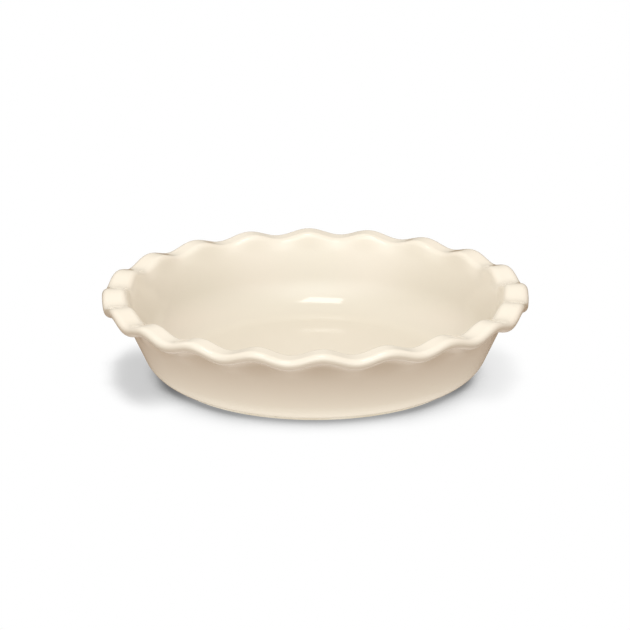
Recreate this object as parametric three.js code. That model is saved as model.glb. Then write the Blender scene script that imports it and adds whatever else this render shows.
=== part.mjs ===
import * as THREE from 'three';

// A round ceramic clafoutis dish with a ruffled rim, in millimetres, +Z up.
// It stands on z = 0, and the Z axis is the axis of the dish.
// One fired clay body carries three coats of glaze: inside, outside and underside.
// The foot ring is left bare, as a dish that is fired standing on it has to be.

// Driving dimensions of the finished dish
const rimDiameter = 280;
const overallHeight = 57.6;
const waveCount = 20;
const waveHeight = 4.3; // from a valley of the rim up to a crest
const waveHold = 9; // along the section, from the lip to where the wave starts to fade
const waveFade = 12; // from there to where the wave has died out
const lipThickness = 7.2;
const lipRound = 4.5; // how far the rounded end of the lip reaches in from its edge
const rimOverhang = 11.7; // lip past the outside of the wall, under the rim
const rimRound = 5; // rounded edge where the rim turns down into the dish
const underRimFillet = 9.8;
const wallLean = 24.4; // degrees out from upright
const wallThickness = 6.2;
const floorThickness = 6;
const insideCornerRadius = 36;
const outsideCornerRadius = 22;
const cornerLift = 1.1; // lowest part of the rounded outside corner above the table
const footReach = 5.3; // glaze line at the foot, past the middle of the outside corner
const footSetback = 0.8; // bare foot inside the glaze line
const footWidth = 7.5;
const footEdge = 0.6; // chamfer round both edges of the foot
const recessDepth = 1.6; // hollow of the underside inside the foot ring
const glazeThickness = 0.4;
const roundingShare = 0.9; // most of the rim's width that a rounding may take

// Facets
const stepsPerWave = 6;
const cornerSteps = 3;
const wallSteps = 4;
const edgeSteps = 2;

const creamGlaze = { color: 0xf3e8d0, roughness: 0.12, metalness: 0 };
const bareClay = { color: 0xe3d7c2, roughness: 0.75, metalness: 0 };

// Sizes that follow from the driving ones
const rimRadius = rimDiameter / 2;
const waveAmplitude = waveHeight / 2;
const lipHalf = lipThickness / 2;
const lipMiddle = overallHeight - waveAmplitude - lipHalf;
const rimTop = lipMiddle + lipHalf;
const rimUnder = lipMiddle - lipHalf;
const lipStart = rimRadius - lipRound;
const lean = THREE.MathUtils.degToRad(wallLean);
const quarter = Math.PI / 2;
const floorTop = recessDepth + floorThickness;
const outsideWallAt = (z) => rimRadius - rimOverhang - (rimUnder - z) * Math.tan(lean);
const insideWallAt = (z) => outsideWallAt(z) - wallThickness / Math.cos(lean);
const fineSteps = waveCount * stepsPerWave;
const coarseSteps = fineSteps / 2;

// A point of the section: its radius and height, and the direction out of the clay
function point(r, z, outR, outZ) {
  const length = Math.hypot(outR, outZ);
  return { r, z, outR: outR / length, outZ: outZ / length, wave: 0 };
}

// Points on an arc. It bulges out of the clay, or with hollow set to true is a fillet.
function arc(centreR, centreZ, radius, from, to, steps, hollow = false) {
  const side = hollow ? -1 : 1;
  return Array.from({ length: steps + 1 }, (_, i) => {
    const angle = from + (to - from) * i / steps;
    const r = centreR + radius * Math.cos(angle);
    const z = centreZ + radius * Math.sin(angle);
    return point(r, z, side * Math.cos(angle), side * Math.sin(angle));
  });
}

// Points strictly between two points of a straight stretch
function between(a, b, steps) {
  return Array.from({ length: steps - 1 }, (_, i) => {
    const share = (i + 1) / steps;
    const r = THREE.MathUtils.lerp(a.r, b.r, share);
    return point(r, THREE.MathUtils.lerp(a.z, b.z, share), a.outR, a.outZ);
  });
}

// A quarter of the lip's rounded end, between the given angles
function lipQuarter(from, to) {
  return Array.from({ length: edgeSteps + 1 }, (_, i) => {
    const angle = from + (to - from) * i / edgeSteps;
    const r = lipStart + lipRound * Math.cos(angle);
    const z = lipMiddle + lipHalf * Math.sin(angle);
    return point(r, z, Math.cos(angle) / lipRound, Math.sin(angle) / lipHalf);
  });
}

// A rounding in the angle between the wall and the rim, kept short of the lip
function rimRadiusLimit(wanted, cornerR) {
  const reach = Math.tan((quarter - lean) / 2);
  const room = roundingShare * (lipStart - cornerR);
  return Math.min(wanted, room / reach);
}

// Sets how much of the wave each point takes, from a full share on the rim to none on the wall
function fadeWave(stretch) {
  let distance = 0;
  stretch.forEach((p, i) => {
    if (i > 0) distance += Math.hypot(p.r - stretch[i - 1].r, p.z - stretch[i - 1].z);
    p.wave = 1 - THREE.MathUtils.smoothstep(distance, waveHold, waveHold + waveFade);
  });
  return stretch;
}

// Inside of the dish, from the middle of the floor out to the edge of the lip
function insideSection() {
  const edge = insideWallAt(rimTop);
  const round = rimRadiusLimit(rimRound, edge);
  const roundCentreR = edge + round * Math.tan((quarter - lean) / 2);
  const rim = arc(roundCentreR, rimTop - round, round, quarter, Math.PI - lean, edgeSteps);
  const cornerZ = floorTop + insideCornerRadius;
  const cornerR = insideWallAt(cornerZ) - insideCornerRadius / Math.cos(lean);
  const corner = arc(cornerR, cornerZ, insideCornerRadius, -lean, -quarter, cornerSteps, true);
  const wall = between(rim.at(-1), corner[0], wallSteps);
  const lip = lipQuarter(0, quarter);
  lip.forEach((p) => { p.wave = 1; });
  const inward = fadeWave([lip.at(-1), ...rim, ...wall, ...corner]);
  return [...lip, ...inward.slice(1), point(0, floorTop, 0, 1)].reverse();
}

// Outside of the dish, from the edge of the lip down to the glaze line at the foot
function outsideSection() {
  const edge = outsideWallAt(rimUnder);
  const fillet = rimRadiusLimit(underRimFillet, edge);
  const filletR = edge + fillet * Math.tan((quarter - lean) / 2);
  const under = arc(filletR, rimUnder - fillet, fillet, quarter, Math.PI - lean, edgeSteps, true);
  const cornerZ = cornerLift + outsideCornerRadius;
  const cornerR = outsideWallAt(cornerZ) - outsideCornerRadius / Math.cos(lean);
  const footAngle = -Math.acos(Math.min(1, footReach / outsideCornerRadius));
  const corner = arc(cornerR, cornerZ, outsideCornerRadius, -lean, footAngle, cornerSteps);
  const wall = between(under.at(-1), corner[0], wallSteps);
  const lip = lipQuarter(0, -quarter);
  lip.forEach((p) => { p.wave = 1; });
  const inward = fadeWave([lip.at(-1), ...under, ...wall, ...corner]);
  return [...lip, ...inward.slice(1)];
}

// Bare foot ring, from its outer edge across the table to its inner edge
function footSection(glazeLine) {
  const outer = glazeLine.r - footSetback;
  const inner = outer - footWidth;
  return [
    point(outer, footEdge, 1, 0),
    point(outer - footEdge, 0, 0, -1),
    point(inner + footEdge, 0, 0, -1),
    point(inner, footEdge, -1, 0),
  ];
}

// Underside inside the foot ring, from the ring in to the middle
function undersideSection(footInner) {
  const fillet = recessDepth - footEdge;
  const start = footInner - glazeThickness;
  const rise = arc(start - fillet, footEdge, fillet, 0, quarter, edgeSteps, true);
  return [...rise, point(0, recessDepth, 0, -1)];
}

// The clay under a glazed stretch lies one coat further in
function underGlaze(section) {
  return section.map((p) => {
    const r = p.r - glazeThickness * p.outR;
    return { ...p, r, z: p.z - glazeThickness * p.outZ };
  });
}

// The back of a coat, which runs the other way along the clay that it lies on
function backOf(section) {
  return section.toReversed().map((p) => ({ ...p, back: true }));
}

// Turns a section into a closed surface round the axis. A point with some of the wave gets a
// fine ring, any other a coarse one, and a point on the axis stays one vertex.
function turned(section, loop = false) {
  const positions = [];
  const triangles = [];
  const rings = section.map((p) => {
    const count = p.r === 0 ? 1 : p.wave > 0 ? fineSteps : coarseSteps;
    const first = positions.length / 3;
    for (let i = 0; i < count; i++) {
      const turn = 2 * Math.PI * i / count;
      const lift = waveAmplitude * p.wave * Math.cos(waveCount * turn);
      positions.push(p.r * Math.cos(turn), p.r * Math.sin(turn), p.z + lift);
    }
    return { count, back: p.back, at: (i) => first + i % count };
  });
  const bands = rings.slice(1).map((ring, i) => [rings[i], ring]);
  if (loop) bands.push([rings.at(-1), rings[0]]);
  for (const [a, b] of bands) {
    const sectors = Math.min(...[a.count, b.count].filter((count) => count > 1));
    for (let i = 0; i < sectors; i++) triangles.push(...sector(a, b, i, sectors));
  }
  const geometry = new THREE.BufferGeometry();
  geometry.setAttribute('position', new THREE.Float32BufferAttribute(positions, 3));
  geometry.setIndex(triangles);
  geometry.computeVertexNormals();
  return geometry;
}

// Triangles between two rings over one sector of the coarser ring. The back of a coat has the
// same diagonals as the clay, so that the two faces lie flat on each other.
function sector(a, b, i, sectors) {
  const stepsA = a.count / sectors;
  const stepsB = b.count / sectors;
  const a0 = a.at(i * stepsA);
  const a1 = a.at((i + 1) * stepsA);
  const b0 = b.at(i * stepsB);
  const b1 = b.at((i + 1) * stepsB);
  if (a.count === 1) return [a0, b0, b1];
  if (b.count === 1) return [a0, b0, a1];
  if (stepsA > 1) {
    const middle = a.at(i * stepsA + 1);
    return [a0, b0, middle, middle, b0, b1, middle, b1, a1];
  }
  if (stepsB > 1) {
    const middle = b.at(i * stepsB + 1);
    return [a0, b0, middle, a0, middle, a1, a1, middle, b1];
  }
  if (a.back) return [a0, b0, a1, a1, b0, b1];
  return [a0, b0, b1, a0, b1, a1];
}

function mesh(name, geometry, finish) {
  const made = new THREE.Mesh(geometry, new THREE.MeshStandardMaterial(finish));
  made.name = name;
  return made;
}

const inside = insideSection();
const outside = outsideSection();
const foot = footSection(outside.at(-1));
const underside = undersideSection(foot.at(-1).r);
const insideClay = underGlaze(inside);
const outsideClay = underGlaze(outside);
const undersideClay = underGlaze(underside);

const claySection = [...insideClay, ...outsideClay.slice(1), ...foot, ...undersideClay.slice(1)];
const insideCoat = [...inside, ...backOf(insideClay)];
const outsideCoat = [...outside, ...backOf(outsideClay)];
const undersideCoat = [...backOf(undersideClay), ...underside];

const dish = new THREE.Group();
dish.name = 'clafoutis_dish';
dish.add(
  mesh('clay_body', turned(claySection), bareClay),
  mesh('inside_glaze', turned(insideCoat), creamGlaze),
  mesh('outside_glaze', turned(outsideCoat, true), creamGlaze),
  mesh('underside_glaze', turned(undersideCoat), creamGlaze),
);

export default dish;
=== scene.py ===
import math
from collections import namedtuple

import bmesh
import bpy
from mathutils import Matrix, Vector


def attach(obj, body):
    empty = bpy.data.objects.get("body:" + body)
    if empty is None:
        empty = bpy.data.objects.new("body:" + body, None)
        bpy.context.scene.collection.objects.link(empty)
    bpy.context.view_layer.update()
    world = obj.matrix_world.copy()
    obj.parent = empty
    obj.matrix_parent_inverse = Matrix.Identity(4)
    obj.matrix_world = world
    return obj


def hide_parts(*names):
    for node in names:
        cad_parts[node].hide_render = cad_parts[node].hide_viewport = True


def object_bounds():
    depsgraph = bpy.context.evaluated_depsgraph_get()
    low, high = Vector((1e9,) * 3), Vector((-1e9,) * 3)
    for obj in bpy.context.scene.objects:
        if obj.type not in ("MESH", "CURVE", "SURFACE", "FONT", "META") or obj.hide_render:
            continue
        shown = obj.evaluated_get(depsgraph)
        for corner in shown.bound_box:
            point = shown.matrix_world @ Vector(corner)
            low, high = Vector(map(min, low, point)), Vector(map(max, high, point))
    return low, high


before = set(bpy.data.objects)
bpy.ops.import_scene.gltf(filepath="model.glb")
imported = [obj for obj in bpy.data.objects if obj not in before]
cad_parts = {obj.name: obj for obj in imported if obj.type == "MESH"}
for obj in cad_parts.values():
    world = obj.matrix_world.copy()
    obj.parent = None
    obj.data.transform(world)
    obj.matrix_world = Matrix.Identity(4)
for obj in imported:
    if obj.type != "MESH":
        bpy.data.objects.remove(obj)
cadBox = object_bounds()
print("frame loaded:", ", ".join(sorted(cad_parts)))

# the dish's section, in metres and degrees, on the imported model's own radius and height
dish = dict(
    rimRadius=cadBox[1].x, height=cadBox[1].z,
    waves=20, waveHeight=0.0043,  # from a valley of the rim up to a crest
    waveHold=0.009, waveFade=0.012,  # along the section from the lip: full wave, then dying out
    lipThickness=0.0072, lipRound=0.0045, rimOverhang=0.0117,
    rimRound=0.005, underRimFillet=0.0098,
    wallLean=24.4, wallThickness=0.0062, floorThickness=0.006,
    insideCorner=0.036, outsideCorner=0.022, cornerLift=0.0011,
    footReach=0.0053, footSetback=0.0008, footWidth=0.0075, footEdge=0.0006,
    recessDepth=0.0016, glaze=0.0004,
)
# how finely the surfaces are divided, in steps along the section and turns round the axis
fineness = dict(
    turns=400, corner=22, wall=18, rimEdge=10, rimFlat=8, lip=12, floor=9, foot=6,
    seam=0.004,  # thin first step on the lip, in radians, where two coats meet
    axis=1e-9,  # a radius below this is on the axis
    sharpAngle=50,  # degrees from which an edge stays sharp
)

# a spot of the section: radius, height, the way out of the clay, and its share of the wave
Spot = namedtuple("Spot", "r z outR outZ wave")

lean = math.radians(dish["wallLean"])
quarter = math.pi / 2
roundReach = math.tan((quarter - lean) / 2)  # how far a rounding reaches along rim and wall, per radius
lipHalf = dish["lipThickness"] / 2
lipMiddle = dish["height"] - dish["waveHeight"] / 2 - lipHalf
lipStart = dish["rimRadius"] - dish["lipRound"]
rimTop, rimUnder = lipMiddle + lipHalf, lipMiddle - lipHalf
floorTop = dish["recessDepth"] + dish["floorThickness"]


def outsideWall(z):
    return dish["rimRadius"] - dish["rimOverhang"] - (rimUnder - z) * math.tan(lean)


def insideWall(z):
    return outsideWall(z) - dish["wallThickness"] / math.cos(lean)


def steps(start, end, count):
    return [start + (end - start) * i / count for i in range(count + 1)]


def arc(centreR, centreZ, radius, start, end, count, hollow=False):
    side = -1 if hollow else 1  # a hollow arc is a fillet
    return [
        Spot(centreR + radius * math.cos(a), centreZ + radius * math.sin(a),
             side * math.cos(a), side * math.sin(a), 0)
        for a in steps(start, end, count)
    ]


def straight(a, b, count):  # the spots strictly between two others
    return [
        a._replace(r=a.r + (b.r - a.r) * t, z=a.z + (b.z - a.z) * t)
        for t in steps(0, 1, count)[1:-1]
    ]


def lipQuarter(side):  # from the lip's edge up (1) or down (-1)
    angles = [0, fineness["seam"] * side] + steps(0, quarter * side, fineness["lip"])[1:]
    spots = []
    for a in angles:
        outR, outZ = math.cos(a) / dish["lipRound"], math.sin(a) / lipHalf
        size = math.hypot(outR, outZ)
        r = lipStart + dish["lipRound"] * math.cos(a)
        z = lipMiddle + lipHalf * math.sin(a)
        spots.append(Spot(r, z, outR / size, outZ / size, 1))
    return spots


def fadeWave(spots):  # full wave from the lip to the end of waveHold, none left waveFade later
    faded, way = [], -dish["waveHold"]
    for i, spot in enumerate(spots):
        way += math.hypot(spot.r - spots[i - 1].r, spot.z - spots[i - 1].z) if i else 0
        t = min(1.0, max(0.0, way / dish["waveFade"]))
        faded.append(spot._replace(wave=1 - t * t * (3 - 2 * t)))
    return faded


def insideSection():  # from the lip's edge in to the middle of the floor
    edge = insideWall(rimTop)
    edgeRound = dish["rimRound"]
    rim = arc(edge + edgeRound * roundReach, rimTop - edgeRound, edgeRound,
              quarter, math.pi - lean, fineness["rimEdge"])
    cornerZ = floorTop + dish["insideCorner"]
    cornerR = insideWall(cornerZ) - dish["insideCorner"] / math.cos(lean)
    corner = arc(cornerR, cornerZ, dish["insideCorner"], -lean, -quarter, fineness["corner"], True)
    lip = lipQuarter(1)
    flat = straight(lip[-1], rim[0], fineness["rimFlat"])
    wall = straight(rim[-1], corner[0], fineness["wall"])
    floor = straight(corner[-1], corner[-1]._replace(r=0), fineness["floor"])
    centre = Spot(0, floorTop, 0, 1, 0)
    return lip[:-1] + fadeWave([lip[-1]] + flat + rim + wall + corner + floor + [centre])


def outsideSection():  # from the lip's edge down to the glaze line at the foot
    edge = outsideWall(rimUnder)
    fillet = dish["underRimFillet"]
    cove = arc(edge + fillet * roundReach, rimUnder - fillet, fillet,
               quarter, math.pi - lean, fineness["rimEdge"], True)
    cornerZ = dish["cornerLift"] + dish["outsideCorner"]
    cornerR = outsideWall(cornerZ) - dish["outsideCorner"] / math.cos(lean)
    footAngle = -math.acos(dish["footReach"] / dish["outsideCorner"])
    corner = arc(cornerR, cornerZ, dish["outsideCorner"], -lean, footAngle, fineness["corner"])
    lip = lipQuarter(-1)
    flat = straight(lip[-1], cove[0], fineness["rimFlat"])
    wall = straight(cove[-1], corner[0], fineness["wall"])
    return lip[:-1] + fadeWave([lip[-1]] + flat + cove + wall + corner)


def footSection(glazeLine):  # bare ring, from its outer edge across the table to its inner edge
    edge = dish["footEdge"]
    outer = glazeLine.r - dish["footSetback"]
    inner = outer - dish["footWidth"]
    outerEdge = arc(outer - edge, edge, edge, 0, -quarter, fineness["foot"])
    innerEdge = arc(inner + edge, edge, edge, -quarter, -math.pi, fineness["foot"])
    return outerEdge + innerEdge


def undersideSection(footInner):  # hollow of the underside, from the foot ring in to the middle
    fillet = dish["recessDepth"] - dish["footEdge"]
    start = footInner - dish["glaze"]
    rise = arc(start - fillet, dish["footEdge"], fillet, 0, quarter, fineness["foot"], True)
    flat = straight(rise[-1], rise[-1]._replace(r=0), fineness["floor"])
    return rise + flat + [Spot(0, dish["recessDepth"], 0, -1, 0)]


def underGlaze(spots):  # the clay lies one coat further in
    coat = dish["glaze"]
    return [s._replace(r=max(0, s.r - coat * s.outR), z=s.z - coat * s.outZ) for s in spots]


def meshFrom(name, bm):
    mesh = bpy.data.meshes.new(name)
    bm.to_mesh(mesh)
    bm.free()
    return mesh


def putInScene(name, data):
    made = bpy.data.objects.new(name, data)
    bpy.context.scene.collection.objects.link(made)
    return made


def turned(name, spots, closed):  # a section turned round the axis into one closed mesh
    turns = fineness["turns"]
    bm = bmesh.new()
    rings = []
    for spot in spots:
        if spot.r < fineness["axis"]:
            rings.append([bm.verts.new((0, 0, spot.z))] * turns)
            continue
        ring = []
        for i in range(turns):
            turn = 2 * math.pi * i / turns
            lift = dish["waveHeight"] / 2 * spot.wave * math.cos(dish["waves"] * turn)
            x, y = spot.r * math.cos(turn), spot.r * math.sin(turn)
            ring.append(bm.verts.new((x, y, spot.z + lift)))
        rings.append(ring)
    for a, b in zip(rings, rings[1:] + (rings[:1] if closed else [])):
        for i in range(turns):
            j = (i + 1) % turns
            corners = dict.fromkeys((a[i], a[j], b[j], b[i]))  # a corner on the axis counts once
            if len(corners) > 2:
                bm.faces.new(corners)
    bmesh.ops.recalc_face_normals(bm, faces=bm.faces)
    mesh = meshFrom(name, bm)
    mesh.shade_smooth()
    mesh.set_sharp_from_angle(angle=math.radians(fineness["sharpAngle"]))
    return putInScene(name, mesh)


# a shader socket in Python expressions: sums on it add Math nodes, node() adds any other
class Wire:
    def __init__(self, tree, socket=None):
        self.tree, self.socket = tree, socket

    def node(self, kind, settings=(), inputs=(), out=0):
        made = self.tree.nodes.new("ShaderNode" + kind)
        for name, value in dict(settings).items():
            if name == "stops":
                ramp = made.color_ramp.elements
                while len(ramp) < len(value):
                    ramp.new(1.0)
                for stop, (place, colour) in zip(ramp, value):
                    stop.position, stop.color = place, (*colour, 1)
            else:
                setattr(made, name, value)
        for name, value in dict(inputs).items():
            socket = self.find(made.inputs, name)
            if isinstance(value, Wire):
                self.tree.links.new(value.socket, socket)
            else:
                socket.default_value = (*value, 1) if socket.type == "RGBA" else value
        return Wire(self.tree, self.find(made.outputs, out) if made.outputs else None)

    def find(self, sockets, name):
        if isinstance(name, int):
            return sockets[name]
        return next(s for s in sockets if s.enabled and s.name == name)

    def maths(self, operation, a, b):
        return self.node("Math", {"operation": operation}, {0: a, 1: b})

    def __add__(self, other):
        return self.maths("ADD", self, other)

    def __radd__(self, other):
        return self.maths("ADD", other, self)

    def __sub__(self, other):
        return self.maths("SUBTRACT", self, other)

    def __rsub__(self, other):
        return self.maths("SUBTRACT", other, self)

    def __mul__(self, other):
        return self.maths("MULTIPLY", self, other)

    def __rmul__(self, other):
        return self.maths("MULTIPLY", other, self)

    def __truediv__(self, other):
        return self.maths("DIVIDE", self, other)

    def __rtruediv__(self, other):
        return self.maths("DIVIDE", other, self)

    def __pow__(self, other):
        return self.maths("POWER", self, other)

    def __rpow__(self, other):
        return self.maths("POWER", other, self)

    def atLeast(self, low):
        return self.maths("MAXIMUM", self, low)

    def noise(self, scale, detail=2, roughness=0.5):
        inputs = {"Vector": self, "Scale": scale, "Detail": detail, "Roughness": roughness}
        return self.node("TexNoise", {}, inputs)

    def smooth(self, low, high):  # 0 at low, 1 at high, whichever of the two is larger
        inputs = {"Value": self, "From Min": low, "From Max": high}
        return self.node("MapRange", {"interpolation_type": "SMOOTHSTEP"}, inputs)

    def mix(self, a, b):  # this value is the share of b
        return self.node("Mix", {"data_type": "RGBA"}, {"Factor": self, "A": a, "B": b}, "Result")

    def bump(self):  # this value is a height in metres
        return self.node("Bump", {}, {"Strength": 1, "Distance": 1, "Height": self})

    def flat(self):  # x and y of a place
        split = self.node("SeparateXYZ", {}, {0: self}).socket.node
        return [Wire(self.tree, split.outputs[name]) for name in "XY"]


def fromAxis(x, y):
    return (x * x + y * y) ** 0.5


def newShader(name):
    material = bpy.data.materials.new(name)
    material.use_nodes = True
    material.node_tree.nodes.clear()
    return material, Wire(material.node_tree)


def finishShader(wire, constants, varying):
    surface = wire.node("BsdfPrincipled", {}, {**constants, **varying})
    wire.node("OutputMaterial", {}, {"Surface": surface})


# each pattern has its own noise, with the limits between which it sets in
creamGlaze = dict(
    cream=(0.815, 0.745, 0.628), pale=(0.832, 0.768, 0.655),
    clouds=dict(scale=16, detail=3), cloudLimits=(0.3, 0.7),
    fleck=(0.62, 0.50, 0.34), fleckShare=0.12,
    flecks=dict(scale=420, detail=1), fleckLimits=(0.72, 0.8),
    thin=(0.77, 0.685, 0.55), thinFrom=0.6,  # share of the lip's rounding where it starts to thin
    wear=dict(scale=90),
    peel=dict(scale=260), peelHeight=0.000006,
    swell=dict(scale=22, detail=1), swellHeight=0.00006,
    sheen=dict(scale=60, detail=3), gloss=0.06, glossSpread=0.05, ior=1.52,
)


# a coat is painted darker from one radius to another, as painted shade, and thins out on the lip
def glazeShader(name, coat):
    look = creamGlaze
    material, wire = newShader(name)
    at = wire.node("TexCoord", out="Object")
    across = fromAxis(*at.flat())
    colour = at.noise(**look["clouds"]).smooth(*look["cloudLimits"]).mix(look["cream"], look["pale"])
    # painted shade: a darker tone between two radii, set for each coat
    paintedShade = across.smooth(coat["paintedShadeFrom"], coat["paintedShadeTo"]) * coat["paintedShadeShare"]
    colour = paintedShade.mix(colour, coat["paintedShade"])
    thin = (across - lipStart).smooth(look["thinFrom"] * dish["lipRound"], dish["lipRound"])
    thin = thin * coat["thinShare"] * at.noise(**look["wear"])
    colour = thin.mix(colour, look["thin"])
    fleck = at.noise(**look["flecks"]).smooth(*look["fleckLimits"]) * look["fleckShare"]
    colour = fleck.mix(colour, look["fleck"])
    peel = look["peelHeight"] * at.noise(**look["peel"])
    swell = look["swellHeight"] * at.noise(**look["swell"])
    roughness = look["gloss"] + look["glossSpread"] * at.noise(**look["sheen"])
    varying = {"Base Color": colour, "Roughness": roughness, "Normal": (peel + swell).bump()}
    finishShader(wire, {"IOR": look["ior"]}, varying)
    return material


bareClay = dict(
    sand=(0.72, 0.62, 0.48), pale=(0.80, 0.72, 0.60), dark=(0.42, 0.33, 0.23),
    patches=dict(scale=40, detail=4), patchLimits=(0.3, 0.7),
    pepper=dict(scale=320), pepperLimits=(0.66, 0.74), pepperShare=0.6,
    grain=dict(scale=900, detail=4, roughness=0.65), grainLimits=(0.45, 0.75),
    grainShare=0.35, grainHeight=0.00006,
    rings=dict(scale=1500), ringHeight=0.00003,  # fine rings from wiping the foot on the wheel
    dullness=0.72, dullSpread=0.2, ior=1.45,
)


def clayShader(name):
    look = bareClay
    material, wire = newShader(name)
    at = wire.node("TexCoord", out="Object")
    across = fromAxis(*at.flat())
    colour = at.noise(**look["patches"]).smooth(*look["patchLimits"]).mix(look["sand"], look["pale"])
    pepper = at.noise(**look["pepper"]).smooth(*look["pepperLimits"]) * look["pepperShare"]
    colour = pepper.mix(colour, look["dark"])
    grain = at.noise(**look["grain"])
    colour = (grain.smooth(*look["grainLimits"]) * look["grainShare"]).mix(colour, look["pale"])
    rings = wire.node("CombineXYZ", {}, {"X": across}).noise(**look["rings"])
    height = look["grainHeight"] * grain + look["ringHeight"] * rings
    roughness = look["dullness"] + look["dullSpread"] * grain
    varying = {"Base Color": colour, "Roughness": roughness, "Normal": height.bump()}
    finishShader(wire, {"IOR": look["ior"]}, varying)
    return material


def dress(piece, node, material):
    piece.data.materials.append(material)
    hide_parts(node)
    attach(piece, "root")
    print("made", piece.name, "with", len(piece.data.polygons), "faces")


inside, outside = insideSection(), outsideSection()
foot = footSection(outside[-1])
underside = undersideSection(foot[-1].r)
insideClay, outsideClay = underGlaze(inside), underGlaze(outside)
undersideClay = underGlaze(underside)

clayLoop = insideClay[::-1] + outsideClay[1:] + foot + undersideClay
dress(turned("fired_clay", clayLoop, False), "clay_body", clayShader("bareClay"))

# radii in metres; painted shade for the dish's hollow: the coat is darkest on the floor and palest on
# the rim
insideCoat = dict(
    paintedShade=(0.70, 0.637, 0.528), paintedShadeFrom=0.130, paintedShadeTo=0.112, paintedShadeShare=1.0, thinShare=0.5,
)
dress(turned("glaze_inside", inside[::-1] + insideClay, False),
      "inside_glaze", glazeShader("glazeInside", insideCoat))

# painted shade: the outside coat is darker and warmer under the rim and down the wall
outsideCoat = dict(
    paintedShade=(0.77, 0.675, 0.55), paintedShadeFrom=0.139, paintedShadeTo=0.132, paintedShadeShare=1.0, thinShare=0.5,
)
dress(turned("glaze_outside", outside + outsideClay[::-1], True),
      "outside_glaze", glazeShader("glazeOutside", outsideCoat))

# painted shade: darker in the angle at the foot ring
undersideCoat = dict(
    paintedShade=(0.76, 0.672, 0.545), paintedShadeFrom=0.0855, paintedShadeTo=0.0885, paintedShadeShare=0.7, thinShare=0,
)
dress(turned("glaze_underside", undersideClay[::-1] + underside, False),
      "underside_glaze", glazeShader("glazeUnderside", undersideCoat))

# the photograph's camera: a long lens, in pixels of the picture and degrees
photo = dict(
    side=630, focal=3118.7, distance=2.051, elevation=17.754, turn=-1.915, roll=-0.132,
    rimCentre=(314.88, 294.97), sensor=36, farEnd=100,
)


def turnedPlace(side, elevation, distance):  # a place round the dish, side 0 being the camera's
    a, e = math.radians(side + photo["turn"]), math.radians(elevation)
    way = Vector((math.sin(a) * math.cos(e), -math.cos(a) * math.cos(e), math.sin(e)))
    return Vector((0, 0, lipMiddle)) + way * distance


def makeCamera():
    data = bpy.data.cameras.new("photoCamera")
    data.sensor_width = photo["sensor"]
    data.lens = photo["sensor"] * photo["focal"] / photo["side"]
    data.clip_end = photo["farEnd"]
    camera = putInScene("photoCamera", data)
    middle = (photo["side"] - 1) / 2
    down = math.atan((middle - photo["rimCentre"][1]) / photo["focal"])
    left = math.atan((photo["rimCentre"][0] - middle) / photo["focal"])
    tilt = quarter - math.radians(photo["elevation"]) - down
    camera.matrix_world = (
        Matrix.Translation(turnedPlace(0, photo["elevation"], photo["distance"]))
        @ Matrix.Rotation(math.radians(photo["turn"]) + left, 4, "Z")
        @ Matrix.Rotation(tilt, 4, "X")
        @ Matrix.Rotation(math.radians(photo["roll"]), 4, "Z")
    )
    bpy.context.scene.camera = camera


# place in metres from the middle of the foot; in degrees, tilt up from facing straight down and
# spin round the upright; a box that isn't seen lights the dish without a reflection
softboxes = dict(
    overhead=dict(place=(-0.044, 0.004, 1.0), shape="SQUARE", wide=0.24, tilt=0, spin=-15,
                  power=0.9, tint=(1, 1, 1), seen=True),
    frontFill=dict(place=(0, -0.704, 1.377), shape="SQUARE", wide=0.7, tilt=28, spin=0,
                   power=3.76, tint=(0.91, 1.01, 1.05), seen=False),
    tableGlow=dict(place=(0, 0, 0.0002), shape="DISK", wide=0.28, tilt=180, spin=0,
                   power=0.142, tint=(0.82, 1, 1.08), seen=False),
)


def makeLight(name, box):
    data = bpy.data.lights.new(name, "AREA")
    data.shape, data.size = box["shape"], box["wide"]
    data.energy, data.color = box["power"], box["tint"]
    light = putInScene(name, data)
    light.matrix_world = (
        Matrix.Rotation(math.radians(photo["turn"]), 4, "Z")
        @ Matrix.Translation(box["place"])
        @ Matrix.Rotation(math.radians(box["spin"]), 4, "Z")
        @ Matrix.Rotation(math.radians(box["tilt"]), 4, "X")
    )
    light.visible_camera = light.visible_glossy = box["seen"]


# a white floor that glows for the camera alone, with a painted shadow: grey where the dish closes it
# in; each side of the dish has its own greys against openness, and the limits say where one side passes
# into the next
paleFloor = dict(
    radius=14, edges=96, reach=0.06, samples=32,
    flankLimits=(0.03, 0.065), backLimits=(0.02, 0.085),  # metres across and back from the middle
    sideLimits=(0.78, 0.96),  # share of the radius that lies across
    front=[(0.1, 0.37), (0.2, 0.53), (0.27, 0.65), (0.34, 0.88), (0.4, 0.97), (0.46, 1)],
    flank=[(0.16, 0.31), (0.22, 0.45), (0.3, 0.69), (0.36, 0.875), (0.44, 0.97), (0.52, 1)],
    left=[(0.2, 0.16), (0.27, 0.3), (0.32, 0.57), (0.36, 0.61), (0.45, 0.615), (0.51, 0.65),
          (0.55, 0.74), (0.59, 0.93), (0.62, 1)],
    right=[(0.2, 0.18), (0.27, 0.42), (0.32, 0.74), (0.36, 0.8), (0.46, 0.85), (0.54, 0.92), (0.6, 1)],
    back=[(0.16, 0.2), (0.24, 0.5), (0.32, 0.82), (0.4, 0.95), (0.5, 1)],
)


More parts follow.
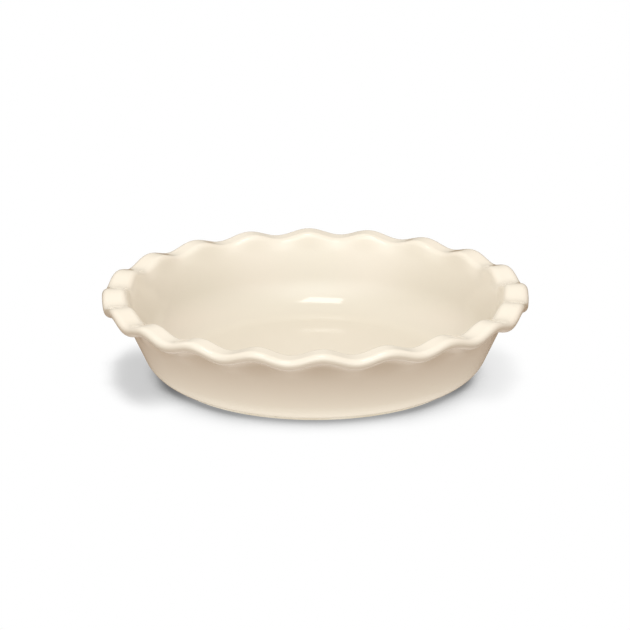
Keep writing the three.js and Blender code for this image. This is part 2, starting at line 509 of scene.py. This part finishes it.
def makeFloor():
    bm = bmesh.new()
    bmesh.ops.create_circle(bm, cap_ends=True, segments=paleFloor["edges"], radius=paleFloor["radius"])
    floor = putInScene("paleFloor", meshFrom("paleFloor", bm))
    material, wire = newShader("floorWithPaintedShadow")
    x, y = wire.node("TexCoord", out="Object").flat()
    across = fromAxis(x, y)
    onFlank = ((x * x) ** 0.5).smooth(*paleFloor["flankLimits"])
    onLeft = (-1 * x / across).smooth(*paleFloor["sideLimits"])
    onRight = (x / across).smooth(*paleFloor["sideLimits"])
    behind = y.smooth(*paleFloor["backLimits"])
    openness = wire.node("AmbientOcclusion", {"samples": paleFloor["samples"]},
                         {"Distance": paleFloor["reach"]}, "AO")
    # painted shadow: each ramp turns openness into the grey of the dish's shadow on one side
    paintedShadows = {}
    for side in ("front", "flank", "left", "right", "back"):
        stops = [(share, (grey, grey, grey)) for share, grey in paleFloor[side]]
        paintedShadows[side] = wire.node("ValToRGB", {"stops": stops}, {"Fac": openness})
    shade = onFlank.mix(paintedShadows["front"], paintedShadows["flank"])
    shade = onLeft.mix(shade, paintedShadows["left"])
    shade = onRight.mix(shade, paintedShadows["right"])
    shade = behind.mix(shade, paintedShadows["back"])
    constants = {"Base Color": (0, 0, 0), "Specular IOR Level": 0, "Emission Strength": 1}
    finishShader(wire, constants, {"Emission Color": shade})
    floor.data.materials.append(material)
    material.cycles.emission_sampling = "NONE"
    floor.visible_diffuse = floor.visible_glossy = floor.visible_shadow = False


# light all round: one colour above the horizon and one below it, and on both of them soft lobes,
# each facing a side and an elevation
room = dict(
    above=(0.437, 0.418, 0.36), below=(0.185, 0.09, 0.01), horizon=0.02,
    lobes=[
        dict(side=0, elevation=62, strength=1.9, tightness=12, tint=(0.91, 1.01, 1.05)),
        dict(side=0, elevation=36, strength=0.53, tightness=12, tint=(0.75, 1, 1.08)),
        dict(side=-40, elevation=36, strength=1.5, tightness=12, tint=(1.03, 0.96, 1.04)),
        dict(side=40, elevation=36, strength=1.0, tightness=12, tint=(1.07, 0.93, 1.02)),
        dict(side=-130, elevation=36, strength=0.35, tightness=12, tint=(1.46, 0.96, 0.93)),
        dict(side=130, elevation=36, strength=0.14, tightness=12, tint=(2.3, 0.65, 0.6)),
        dict(side=0, elevation=-90, strength=1.02, tightness=2, tint=(0.99, 1, 1.03)),
    ],
)


def makeRoom():
    world = bpy.data.worlds.new("softRoom")
    bpy.context.scene.world = world
    world.use_nodes = True
    world.node_tree.nodes.clear()
    wire = Wire(world.node_tree)
    way = wire.node("TexCoord", out="Generated")
    isAbove = wire.node("SeparateXYZ", {}, {0: way}, "Z").smooth(-room["horizon"], room["horizon"])
    light = isAbove.mix(room["below"], room["above"])
    for lobe in room["lobes"]:
        facing = turnedPlace(lobe["side"], lobe["elevation"], 1) - turnedPlace(0, 0, 0)
        share = wire.node("VectorMath", {"operation": "DOT_PRODUCT"}, {0: way, 1: facing}, "Value")
        glow = lobe["strength"] * share.atLeast(0) ** lobe["tightness"]
        glow = wire.node("VectorMath", {"operation": "SCALE"}, {0: lobe["tint"], "Scale": glow})
        light = wire.node("VectorMath", {"operation": "ADD"}, {0: light, 1: glow})
    background = wire.node("Background", {}, {"Color": light, "Strength": 1})
    wire.node("OutputWorld", {}, {"Surface": background})


makeCamera()
for name, box in softboxes.items():
    makeLight(name, box)
makeFloor()
makeRoom()
bpy.context.scene.view_settings.view_transform = "Standard"
print("camera, lights and floor in place")
